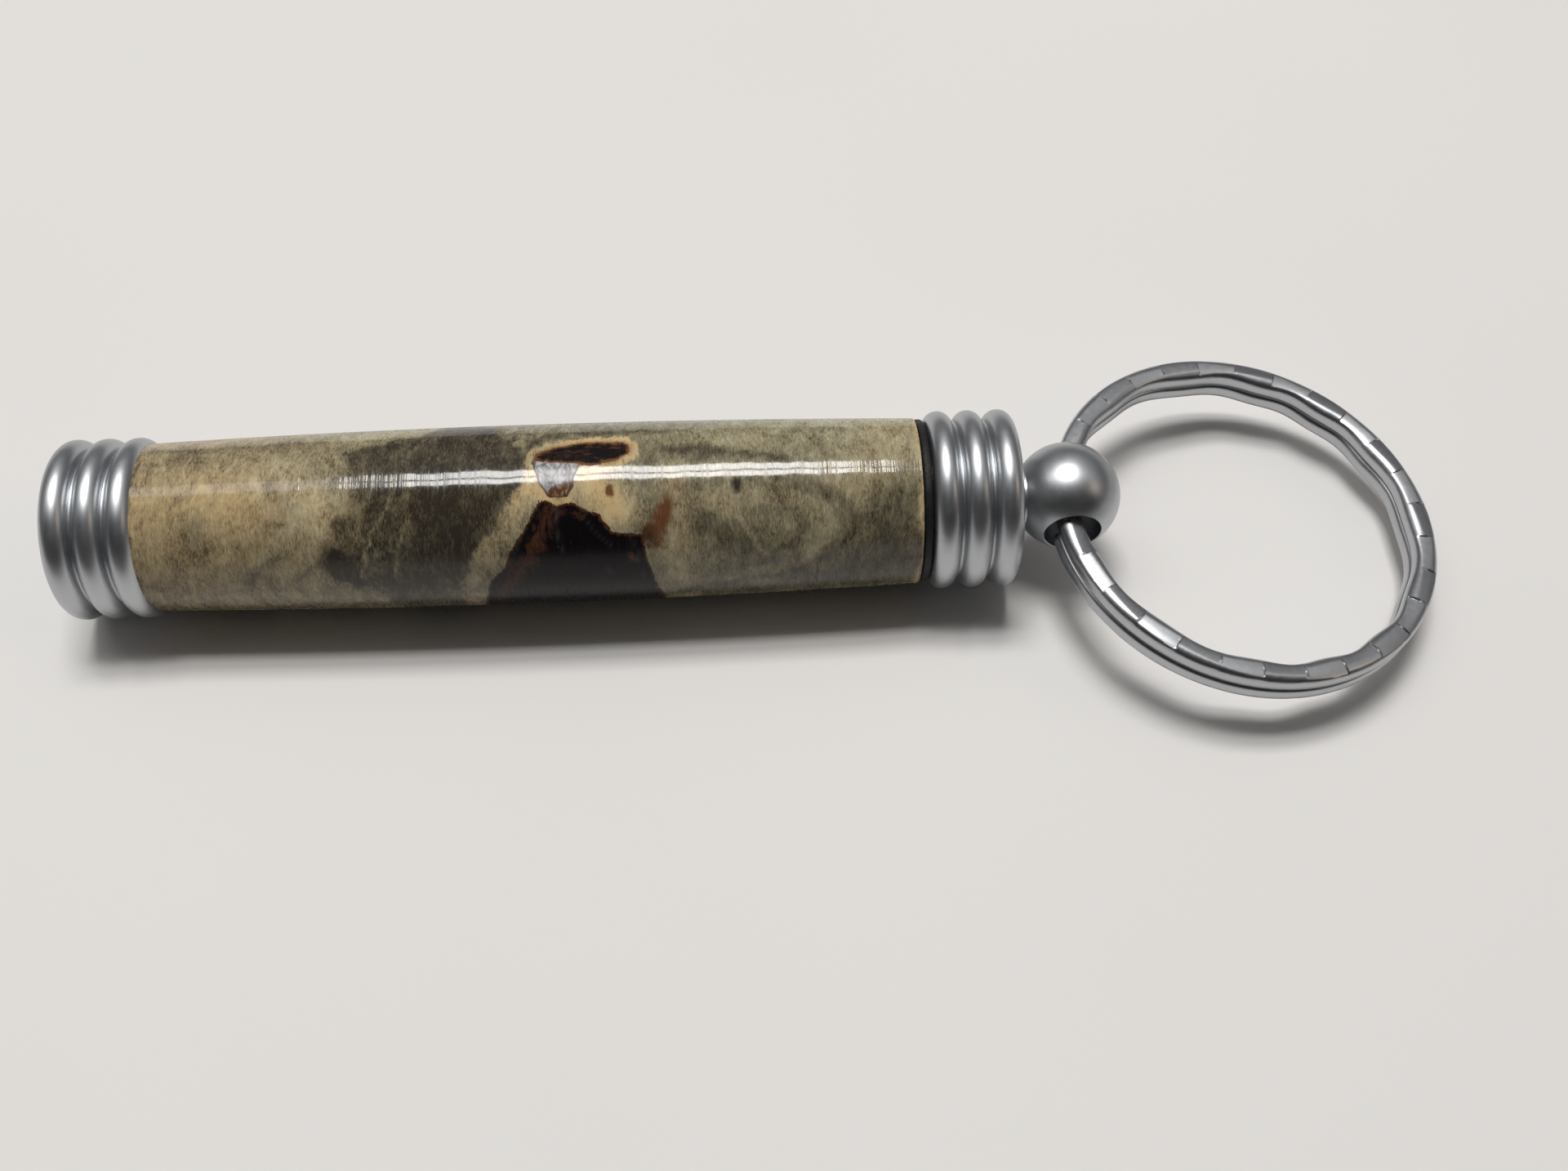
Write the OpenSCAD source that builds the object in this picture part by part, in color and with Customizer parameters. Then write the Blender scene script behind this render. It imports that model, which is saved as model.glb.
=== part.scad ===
// Key chain with a hidden compartment: a turned wooden barrel on a brass tube, closed by a screw
// cap that carries a ball and a split key ring. It lies on its side. The origin is the centre of the
// flat end face, +X runs along the barrel towards the key ring and +Z is up.

/* [Wooden barrel] */
// Length of the turned wood
wood_l = 60; // [45:0.5:80]
// Thickness of the wood at its two ends
wood_end_t = 1.2; // [0.9:0.05:2]
// Rise of the wood's middle above its ends
wood_rise = 0.5; // [0.2:0.05:1]

/* [Brass tube] */
// Outside diameter of the tube
tube_d = 10.7; // [9.5:0.1:13]
// Wall of the tube
tube_wall = 0.45; // [0.3:0.05:0.5]
// Glue line between the wood and the tube
glue_gap = 0.05; // [0.02:0.01:0.1]
// Clearance all round a pressed fit
press_gap = 0.01; // [0.01:0.01:0.03]

/* [Beaded caps] */
// Height of the beads above the wood's end
bead_over = 0.5; // [0.3:0.05:1]
// Diameter of the round bar that each bead is cut to
bead_d = 2.2; // [2:0.05:2.4]
// Gap between one bead and the next
bead_gap = 0.21; // [0.1:0.01:0.5]
// Number of beads on each cap
bead_count = 3; // [2:1:5]
// Depth of the groove between beads
groove_depth = 1.05; // [0.9:0.05:1.2]
// Width of the sloping margin round the flat on each outer end
end_margin = 1.55; // [1:0.05:3]
// Height of that flat above the bead's side
end_rise = 0.12; // [0.05:0.01:0.3]
// Distance from the last bead of the fixed cap to the wood
seat_l = 0.92; // [0.8:0.01:1.05]
// Length of the fixed cap's plug in the tube
plug_l = 6.5; // [4:0.5:9]
// Chamfer on the plug and on the tube's mouth
lead_in = 0.3; // [0.1:0.05:0.4]

/* [Screw thread] */
// Wall of the threaded collar outside its thread
collar_wall = 0.61; // [0.5:0.01:1]
// Travel in one turn
thread_pitch = 1; // [0.9:0.1:1.2]
// Depth of the thread
thread_depth = 0.5; // [0.4:0.05:0.5]
// Width of the thread's crest
crest_w = 0.12; // [0.08:0.01:0.15]
// Clearance between the two threads
thread_gap = 0.08; // [0.05:0.01:0.09]
// Length of the threaded collar in the tube
collar_l = 6.5; // [6:0.5:10]
// Width of the shoulder over the tube's mouth
shoulder_over = 0.25; // [0.1:0.05:0.4]
// Clearance between the shoulder and the tube's mouth
shoulder_gap = 0.1; // [0.05:0.05:0.2]
// Depth to which the threaded plug is pressed into the cap
shank_l = 3; // [2:0.5:3.5]

/* [Seal] */
// Squeezed thickness of the seal
seal_t = 0.78; // [0.6:0.02:1]
// Radial width of the seal
seal_w = 0.95; // [0.8:0.05:1.2]
// Clearance on each side of the seal
seal_gap = 0.03; // [0.02:0.01:0.05]

/* [Ball] */
// Metal on each side of the cross hole, at the ball's middle
ball_wall = 2.05; // [1.8:0.05:2.5]
// Clearance round the key ring's two wires in the cross hole
hole_gap = 0.43; // [0.43:0.01:0.7]
// Diameter of the ball's neck
neck_d = 4.8; // [4:0.1:6]
// Gap that the neck leaves between the ball and the cap
neck_l = 0.15; // [0.1:0.05:1]
// Diameter of the tenon in the cap
tenon_d = 3.2; // [2.5:0.1:4]
// Length of the tenon
tenon_l = 3.4; // [2:0.1:3.8]

/* [Key ring] */
// Outside diameter of the key ring
ring_d = 31.8; // [28:0.2:40]
// Radial width of its wire
wire_w = 1.9; // [1.6:0.05:2]
// Thickness of its wire along the ring's axis
wire_t = 1.5; // [1.2:0.05:1.55]
// Gap between its two turns
turn_gap = 0.1; // [0.08:0.01:0.2]
// Corner that is taken off the wire
corner_cut = 0.32; // [0.2:0.02:0.4]
// Hammered flats in one turn
flat_count = 28; // [16:1:40]
// Step from one flat to the next
flat_step = 0.09; // [0.04:0.01:0.12]
// Angle in which the wire crosses from one turn to the other
cross_angle = 24; // [16:1:40]
// Angle left open at each wire end
end_angle = 1.5; // [1:0.5:5]
// Angle of the ring below the barrel's axis
ring_drop = 7.3; // [0:0.1:8]
// Angle of the ring round the upright axis in the hole
ring_yaw = -7; // [-8:0.5:0]
// Distance of the band's middle below the hole's middle
ring_low = 0.05; // [0:0.05:0.1]
// Distance of the band's middle behind the hole's middle
ring_back = 0.3; // [0.25:0.05:0.35]

/* [Hidden] */
$fn = 96;

// Half a turn and a full turn, in degrees
half_turn = 180;
full_turn = 360;
// Overrun of every cut past the face that it opens
overrun = 1;

// Radii from the tube outwards and inwards
tube_ir = tube_d / 2 - tube_wall;
wood_ir = tube_d / 2 + glue_gap;
wood_end_r = wood_ir + wood_end_t;
wood_mid_r = wood_end_r + wood_rise;
cap_r = wood_end_r + bead_over;
groove_r = cap_r - groove_depth;
end_flat_r = groove_r - end_margin;
plug_r = tube_ir - press_gap;
shoulder_r = tube_d / 2 + shoulder_over;
thread_r = plug_r - collar_wall - thread_gap;

// Ball and cross hole from the wires that pass through it
hole_d = norm([2 * wire_t + turn_gap, wire_w]) + 2 * hole_gap;
ball_d = hole_d + 2 * ball_wall;

// Places along the barrel, from the flat end face
bead_r = bead_d / 2;
bead_pitch = bead_d + bead_gap;
beads_l = (bead_count - 1) * bead_pitch;
wood_x = bead_r + beads_l + seat_l;
mouth_x = wood_x + wood_l;
cap_x = mouth_x + seal_t + 2 * seal_gap;
cap_l = 2 * bead_r + beads_l;
face_x = cap_x + cap_l;
ball_x = face_x + neck_l + ball_d / 2;

// Steps along the wood's crown, and flat sides round the collar and the shoulder
crown_steps = 16;
collar_sides = 48;

// Thread form: flanks at this angle from square, steps in one turn and how deep the ridge is rooted
root_r = thread_r - thread_depth;
nut_r = root_r + thread_gap;
flank_angle = 30;
thread_steps = 24;
ridge_root = 0.1;
ridge_w = crest_w + 2 * thread_depth * tan(flank_angle);
ridge_turns = floor((collar_l - 2 * thread_pitch) / thread_pitch);
ridge_x = mouth_x - collar_l + thread_pitch;

// Outlines of the natural pockets in the wood. Each point is a share of the wood's length and an
// angle in degrees round the barrel, 0 at the near side and 90 on top
bark_shares = [[0.513, 62.8], [0.526, 62.5], [0.532, 59], [0.556, 61.5], [0.573, 55], [0.587, 53.5],
    [0.605, 42], [0.642, 39.5], [0.645, 25], [0.657, -1], [0.663, -14], [0.668, -36], [0.42, -40],
    [0.433, -10], [0.444, 10], [0.466, 21.5], [0.472, 31.5], [0.489, 42], [0.504, 55]];
bark_facing = 12;
lens_shares = [[0.505, 89], [0.508, 95], [0.532, 100], [0.573, 104], [0.62, 103], [0.629, 100],
    [0.627, 93], [0.608, 87], [0.578, 84], [0.556, 86.5], [0.529, 87.5]];
resin_shares = [[0.504, 88], [0.507, 90], [0.53, 91], [0.568, 89], [0.557, 76], [0.556, 70],
    [0.548, 64], [0.525, 64.5], [0.513, 73.5]];
upper_facing = 84;

// Key ring: the band's centre line, the place of each turn and the sections along one flat
band_r = ring_d / 2 - wire_w / 2;
turn_z = (wire_t + turn_gap) / 2;
flat_angle = full_turn / flat_count;
step_angle = flat_angle / 24;
wire_start = cross_angle / 2 + end_angle;
wire_end = 2 * full_turn - wire_start;
flats = floor((wire_end - wire_start) / flat_angle);

// A solid swept through rings of points that all hold the same number of points
module skin(rings) {
    n = len(rings[0]);
    m = len(rings);
    points = [for (ring = rings) each ring];
    sides = [for (i = [0 : m - 2], j = [0 : n - 1]) let (k = (j + 1) % n) each [
        [i * n + j, (i + 1) * n + k, (i + 1) * n + j],
        [i * n + j, i * n + k, (i + 1) * n + k]]];
    first = [for (j = [n - 1 : -1 : 0]) j];
    last = [for (j = [0 : n - 1]) (m - 1) * n + j];
    polyhedron(points, concat([first], sides, [last]), convexity = 10);
}

// Corner points of a regular prism, which keeps flat sides where a thread is cut into it
function prism_points(r, sides) = [for (i = [0 : sides - 1])
    [r * cos(i * full_turn / sides), r * sin(i * full_turn / sides)]];
module prism(r, l, sides) {
    linear_extrude(l) polygon(prism_points(r, sides));
}

// One right-hand thread ridge about Z. grow widens it on every side, and fade lets its ends run out
module thread_ridge(turns, grow, fade) {
    steps = turns * thread_steps;
    base_r = root_r + grow - ridge_root;
    top_r = thread_r + grow;
    side = grow / cos(flank_angle);
    base_w = ridge_w / 2 + side + (ridge_root - grow) * tan(flank_angle);
    top_w = crest_w / 2 + side - grow * tan(flank_angle);
    fade_steps = fade * thread_steps;
    low_r = base_r + ridge_root / 2;
    skin([for (i = [0 : steps])
        let (a = i * full_turn / thread_steps, z = i * thread_pitch / thread_steps,
            share = fade > 0 ? min(1, i / fade_steps, (steps - i) / fade_steps) : 1,
            r = low_r + (top_r - low_r) * share, w = base_w + (top_w - base_w) * share)
        [[base_r * cos(a), base_r * sin(a), z - base_w], [r * cos(a), r * sin(a), z - w],
            [r * cos(a), r * sin(a), z + w], [base_r * cos(a), base_r * sin(a), z + base_w]]]);
}

// Turns a profile drawn as [radius, place along the barrel] round the barrel's axis
module turned() {
    rotate([0, 90, 0]) rotate_extrude() children();
}

// Half section of the beads, the first one touching zero
module bead_section() {
    for (i = [0 : bead_count - 1])
        translate([cap_r - bead_r, bead_r + i * bead_pitch]) circle(r = bead_r);
}

// Half section of the wood before it is bored, fullest at its middle
module wood_section() {
    crown = [for (i = [0 : crown_steps]) let (s = i / crown_steps)
        [wood_end_r + wood_rise * (1 - pow(2 * s - 1, 2)), wood_x + s * wood_l]];
    polygon(concat([[0, wood_x]], crown, [[0, mouth_x]]));
}

// A pocket with walls that point at the barrel's axis, seen from the angle facing
module pocket(shares, facing) {
    near_r = tube_d / 4;
    far_r = wood_mid_r + overrun;
    rotate([90 - facing, 0, 0]) translate([wood_x, 0, near_r])
        linear_extrude(far_r - near_r, scale = [1, far_r / near_r], slices = 1, $fn = 0)
            polygon([for (p = shares) [p[0] * wood_l, near_r * tan(p[1] - facing)]]);
}

// The wood's wall, all round
module wood_wall() {
    difference() {
        turned() wood_section();
        translate([wood_x - overrun, 0, 0]) rotate([0, 90, 0])
            cylinder(r = wood_ir, h = wood_l + 2 * overrun);
    }
}

// Fixed cap with its beads, the last one cut flat against the wood, and its plug in the tube
module end_cap() {
    color("silver") turned() union() {
        polygon([[0, 0], [end_flat_r, 0], [groove_r, end_rise], [groove_r, wood_x],
            [plug_r, wood_x], [plug_r, wood_x + plug_l - lead_in],
            [plug_r - lead_in, wood_x + plug_l], [0, wood_x + plug_l]]);
        intersection() {
            bead_section();
            square([cap_r, wood_x]);
        }
    }
}

// Lining of the compartment
module brass_tube() {
    color("gold") turned() polygon([[tube_ir, wood_x], [tube_d / 2, wood_x],
        [tube_d / 2, mouth_x], [tube_ir + lead_in / 2, mouth_x], [tube_ir, mouth_x - lead_in]]);
}

// Burl wood, open where bark and resin fill it
module wood_barrel() {
    color("tan") difference() {
        wood_wall();
        pocket(bark_shares, bark_facing);
        pocket(lens_shares, upper_facing);
        pocket(resin_shares, upper_facing);
    }
}

// Large dark pocket of bark on the near side
module bark_inclusion() {
    color("#241a14") intersection() {
        wood_wall();
        pocket(bark_shares, bark_facing);
    }
}

// Lens of bark near the top
module bark_lens() {
    color("#2e1c12") intersection() {
        wood_wall();
        pocket(lens_shares, upper_facing);
    }
}

// Grey resin between the two
module resin_fill() {
    color("#8d8a90") difference() {
        intersection() {
            wood_wall();
            pocket(resin_shares, upper_facing);
        }
        pocket(lens_shares, upper_facing);
        pocket(bark_shares, bark_facing);
    }
}

// Collar in the tube's mouth, with the inner thread cut through it
module threaded_collar() {
    color("#b08d3c") difference() {
        translate([mouth_x - collar_l, 0, 0]) rotate([0, 90, 0])
            prism(plug_r, collar_l, collar_sides);
        translate([mouth_x - collar_l - overrun, 0, 0]) rotate([0, 90, 0])
            prism(nut_r, collar_l + 2 * overrun, thread_steps);
        translate([ridge_x - 2 * thread_pitch, 0, 0]) rotate([0, 90, 0])
            thread_ridge(ceil(collar_l / thread_pitch) + 2, thread_gap, 0);
    }
}

// Black seal, squeezed flat between the wood and the cap
module seal_ring() {
    seal_x = mouth_x + seal_gap;
    outer_r = shoulder_r + seal_gap + seal_w;
    color("#18181a") turned() union() {
        translate([outer_r - seal_w + seal_t / 2, seal_x]) square([seal_w - seal_t, seal_t]);
        for (r = [outer_r - seal_w + seal_t / 2, outer_r - seal_t / 2])
            translate([r, seal_x + seal_t / 2]) circle(r = seal_t / 2);
    }
}

// Beaded screw cap, bored from behind for the plug and from the front for the ball's tenon
module screw_cap() {
    color("silver") difference() {
        turned() translate([0, cap_x]) union() {
            polygon([[0, 0], [groove_r, 0], [groove_r, cap_l - end_rise],
                [end_flat_r, cap_l], [0, cap_l]]);
            bead_section();
        }
        translate([cap_x - overrun, 0, 0]) rotate([0, 90, 0])
            cylinder(r = root_r + press_gap, h = shank_l + overrun);
        translate([face_x - tenon_l, 0, 0]) rotate([0, 90, 0])
            cylinder(d = tenon_d + 2 * press_gap, h = tenon_l + overrun);
    }
}

// Threaded plug with the shoulder that carries the seal and the shank pressed into the cap
module threaded_plug() {
    shoulder_x = mouth_x + shoulder_gap;
    plug_x = mouth_x - collar_l + thread_pitch / 2;
    color("#c9b273") union() {
        translate([plug_x, 0, 0]) rotate([0, 90, 0])
            prism(root_r, cap_x + shank_l - plug_x, thread_steps);
        translate([shoulder_x, 0, 0]) rotate([0, 90, 0])
            prism(shoulder_r, cap_x - shoulder_x, collar_sides);
        translate([ridge_x, 0, 0]) rotate([0, 90, 0]) thread_ridge(ridge_turns, 0, 0.5);
    }
}

// Ball with its cross hole, neck and tenon
module ball_stud() {
    color("silver") translate([ball_x, 0, 0]) difference() {
        union() {
            rotate([90, 0, 0]) sphere(d = ball_d);
            translate([-ball_d / 2 - neck_l, 0, 0]) rotate([0, 90, 0])
                cylinder(d = neck_d, h = ball_d / 4 + neck_l);
            translate([-ball_d / 2 - neck_l - tenon_l, 0, 0]) rotate([0, 90, 0])
                cylinder(d = tenon_d, h = tenon_l + ball_d / 4);
        }
        rotate([90, 0, 0]) cylinder(d = hole_d, h = ball_d + 2 * overrun, center = true);
    }
}

// Height of the wire's middle at the angle u from the wire's start, with its crossing at one turn
function layer_z(u) = let (s = max(0, min(1, (u - full_turn) / cross_angle + 0.5)))
    turn_z * (2 * s * s * (3 - 2 * s) - 1);

// Section of the wire at the angle u, with its outer side and its outward face raised by step
function wire_section(u, step) = let (w = wire_w / 2, t = wire_t / 2, c = corner_cut,
        z = layer_z(u), up = z > 0 ? step : 0, down = z > 0 ? 0 : step,
        corners = [[w - c, -t - down], [w + step, -t + c], [w + step, t - c], [w - c, t + up],
            [c - w, t + up], [-w, t - c], [-w, c - t], [c - w, -t - down]])
    [for (p = corners) [(band_r + p[0]) * cos(u), (band_r + p[0]) * sin(u), z + p[1]]];

// Split ring of two turns, hammered in flats that each end in a small step
module split_ring() {
    marks = [for (i = [0 : flats - 1]) wire_start + i * (wire_end - wire_start) / flats];
    run = (wire_end - wire_start) / flats - step_angle;
    color("#8f9194") translate([ball_x, 0, 0]) rotate([0, ring_drop, 0]) rotate([0, 0, ring_yaw])
        translate([band_r - ring_back, 0, -ring_low]) rotate([0, 0, half_turn])
            skin([for (u = marks, k = [0 : 0.5 : 1])
                wire_section(u + run * k, flat_step * (1 - k))]);
}

end_cap();
brass_tube();
wood_barrel();
bark_inclusion();
bark_lens();
resin_fill();
threaded_collar();
seal_ring();
screw_cap();
threaded_plug();
ball_stud();
split_ring();
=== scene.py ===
import math

import bpy
import numpy as np
from mathutils import Matrix, Vector


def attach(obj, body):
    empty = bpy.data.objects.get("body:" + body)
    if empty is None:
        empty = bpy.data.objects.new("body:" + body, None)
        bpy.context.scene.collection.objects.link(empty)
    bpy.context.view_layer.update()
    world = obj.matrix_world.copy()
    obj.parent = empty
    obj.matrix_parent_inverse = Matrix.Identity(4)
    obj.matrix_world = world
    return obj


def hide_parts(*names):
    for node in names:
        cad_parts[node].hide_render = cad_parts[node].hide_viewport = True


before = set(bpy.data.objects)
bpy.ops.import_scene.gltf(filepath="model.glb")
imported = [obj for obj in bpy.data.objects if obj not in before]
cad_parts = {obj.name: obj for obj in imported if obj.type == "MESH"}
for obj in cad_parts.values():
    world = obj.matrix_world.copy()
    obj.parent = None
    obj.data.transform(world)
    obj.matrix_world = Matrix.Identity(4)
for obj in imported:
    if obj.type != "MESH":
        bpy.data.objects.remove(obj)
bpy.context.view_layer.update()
mm = 0.001


class Field:
    # one socket of a material; + - * / on fields and numbers add Math nodes
    def __init__(self, tree, socket):
        self.tree = tree
        self.socket = socket

    def feed(self, node, inputs):
        # a node's sockets take values, or links from fields
        for name, value in inputs.items():
            if isinstance(value, Field):
                self.tree.links.new(value.socket, node.inputs[name])
            else:
                node.inputs[name].default_value = value

    def node(self, kind, settings, inputs, out=0):
        # any node: its settings are set first, then its sockets are fed
        made = self.tree.nodes.new(kind)
        for name, value in settings.items():
            if name == "stops":
                ramp = made.color_ramp
                while len(ramp.elements) < len(value):
                    ramp.elements.new(0.5)
                for element, (place, colour) in zip(ramp.elements, value):
                    element.position = place
                    element.color = (*colour, 1)
            else:
                setattr(made, name, value)
        self.feed(made, inputs)
        return Field(self.tree, made.outputs[out])

    def math(self, operation, *values):
        # one Math node on fields and numbers
        return self.node("ShaderNodeMath", {"operation": operation}, dict(enumerate(values)))

    def __add__(self, other):
        return self.math("ADD", self, other)

    def __sub__(self, other):
        return self.math("SUBTRACT", self, other)

    def __rsub__(self, other):
        return self.math("SUBTRACT", other, self)

    def __mul__(self, other):
        return self.math("MULTIPLY", self, other)

    def __truediv__(self, other):
        return self.math("DIVIDE", self, other)

    def __rtruediv__(self, other):
        return self.math("DIVIDE", other, self)

    # a sum and a product are the same from either side
    __radd__, __rmul__ = __add__, __mul__

    def step(self, low, high):
        # smooth step from 0 at low to 1 at high; low may lie above high
        return self.node("ShaderNodeMapRange", {"interpolation_type": "SMOOTHSTEP"},
                         {"Value": self, "From Min": low, "From Max": high})

    def mixed(self, first, second):
        # the first colour where this field is 0 and the second where it is 1
        return self.node("ShaderNodeMix", {"data_type": "RGBA"},
                         {0: self, 6: colourOf(first), 7: colourOf(second)}, 2)

    def ramp(self, stops):
        # a colour for each value, through stops of (value, colour)
        return self.node("ShaderNodeValToRGB", {"stops": stops}, {"Fac": self})

    def scaled(self, x, y, z):
        # the place stretched along each axis, per millimetre
        return self.node("ShaderNodeVectorMath", {"operation": "MULTIPLY"},
                         {0: self, 1: (x / mm, y / mm, z / mm)})

    def noise(self, detail, rough, distortion=0.0):
        # soft noise at this place, about -0.5 to 0.5
        return self.node("ShaderNodeTexNoise", {},
                         {"Vector": self, "Scale": 1.0, "Detail": detail, "Roughness": rough,
                          "Distortion": distortion}) - 0.5

    def part(self, axis):
        # one coordinate of this place: 0, 1 or 2 for x, y or z
        return self.node("ShaderNodeSeparateXYZ", {}, {"Vector": self}, axis)

    def attribute(self, name):
        # a number that the mesh stores for each of its points
        return self.node("ShaderNodeAttribute", {"attribute_name": name}, {}, 2)

    def bump(self, distance):
        # a normal bent by this field, as a height in units of the distance
        return self.node("ShaderNodeBump", {},
                         {"Height": self, "Distance": distance, "Strength": 1.0})


def colourOf(value):
    # a field as it is, or three numbers as a full colour
    return value if isinstance(value, Field) else (*value, 1)


def shaded(owner, shader, output, coordinates, build):
    # a material or world with one shader; build(place) gets the coordinates as a field and returns
    # what feeds the shader's sockets
    owner.use_nodes = True
    tree = owner.node_tree
    tree.nodes.clear()
    made = tree.nodes.new(shader)
    tree.links.new(made.outputs[0], tree.nodes.new(output).inputs["Surface"])
    place = Field(tree, tree.nodes.new("ShaderNodeTexCoord").outputs[coordinates])
    place.feed(made, build(place))
    return owner


def finish(name, build):
    # a material on the Object coordinates
    return shaded(bpy.data.materials.new(name), "ShaderNodeBsdfPrincipled",
                  "ShaderNodeOutputMaterial", "Object", build)


def addPiece(name, points, faces, body, material, node, sharpAngle=35.0):
    # points in millimetres, faces as lists of indices; edges sharper than sharpAngle degrees stay
    # sharp. The piece rides its body, has its slot and takes the place of its node
    mesh = bpy.data.meshes.new(name)
    mesh.from_pydata(np.asarray(points, float).reshape(-1, 3) * mm, [], faces)
    mesh.polygons.foreach_set("use_smooth", np.ones(len(mesh.polygons), bool))
    mesh.set_sharp_from_angle(angle=math.radians(sharpAngle))
    mesh.materials.append(material)
    mesh.update()
    piece = bpy.data.objects.new(name, mesh)
    bpy.context.scene.collection.objects.link(piece)
    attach(piece, body)
    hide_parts(node)
    return piece


def addValues(piece, name, values):
    # one number for each point, which a material reads by its name
    layer = piece.data.attributes.new(name, "FLOAT", "POINT")
    layer.data.foreach_set("value", np.ravel(values).astype(np.float32))


def rowFaces(rows, around, wrapRows=False, first=0, flip=False):
    # four-sided faces of a grid of rows that each close on themselves; a wrapped grid closes in
    # both ways, and an open one gets a flat face at each end
    i, j = np.meshgrid(np.arange(rows if wrapRows else rows - 1), np.arange(around), indexing="ij")
    i, j = i.ravel(), j.ravel()
    ni, nj = (i + 1) % rows, (j + 1) % around
    near, far = i * around + first, ni * around + first
    quads = np.stack([near + j, far + j, far + nj, near + nj], 1)
    faces = (quads[:, ::-1] if flip else quads).tolist()
    if not wrapRows:
        start = (np.arange(around) + first).tolist()
        end = ((rows - 1) * around + np.arange(around) + first).tolist()
        faces += [start, end[::-1]]
    return faces


def fullTurn(around):
    # equal angles once round, in radians
    return np.linspace(0, 2 * np.pi, around, endpoint=False)


def roundBarrel(x, radius, angle):
    # points at a place along the barrel, a radius, and an angle from its near side up over its top
    return np.stack([np.broadcast_to(x, radius.shape), -radius * np.cos(angle),
                     radius * np.sin(angle)], -1)


def turned(profile, around):
    # a profile of [place along the barrel, radius] turned round the barrel's axis
    x, radius = np.asarray(profile, float).T[..., None]
    return roundBarrel(x, np.tile(radius, around), fullTurn(around))


def arc(cx, cr, radius, start, end, steps):
    # points round a centre [cx, cr]; 0 degrees points outwards from the axis and 90 along it
    a = np.radians(np.linspace(start, end, steps))
    return np.stack([cx + radius * np.sin(a), cr + radius * np.cos(a)], 1)


def eased(points, radius, steps):
    # a polyline with each corner rounded by a quadratic curve, which leaves and meets the line a
    # radius from the corner, or 0.45 of the shorter side next to it
    p = np.asarray(points, float)
    back, ahead = p[:-2] - p[1:-1], p[2:] - p[1:-1]
    lb, la = np.linalg.norm(back, axis=1), np.linalg.norm(ahead, axis=1)
    cut = np.minimum(radius, 0.45 * np.minimum(lb, la))[:, None]
    a, c = p[1:-1] + back / lb[:, None] * cut, p[1:-1] + ahead / la[:, None] * cut
    t = np.linspace(0, 1, steps)[None, :, None]
    curve = (1 - t) ** 2 * a[:, None] + 2 * t * (1 - t) * p[1:-1][:, None] + t ** 2 * c[:, None]
    return np.concatenate([p[:1], curve.reshape(-1, 2), p[-1:]])


def smooth(value, low, high):
    # smooth step on arrays: s * s * (3 - 2 * s), s from 0 at low to 1 at high
    s = np.clip((value - low) / (high - low), 0, 1)
    return s * s * (3 - 2 * s)


# sizes shared by the pieces, in millimetres; places are measured from the barrel's flat end
barrel = {
    "woodStart": 6.84, "woodLength": 60.0, "woodEndRadius": 6.6, "crown": 0.5, "woodBore": 5.4,
    "figureRadius": 6.95,  # where the unrolled figure is measured round the wood
    "capStart": 67.68, "faceEnd": 74.7, "ballX": 79.148, "tenonDepth": 3.4,
}


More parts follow.
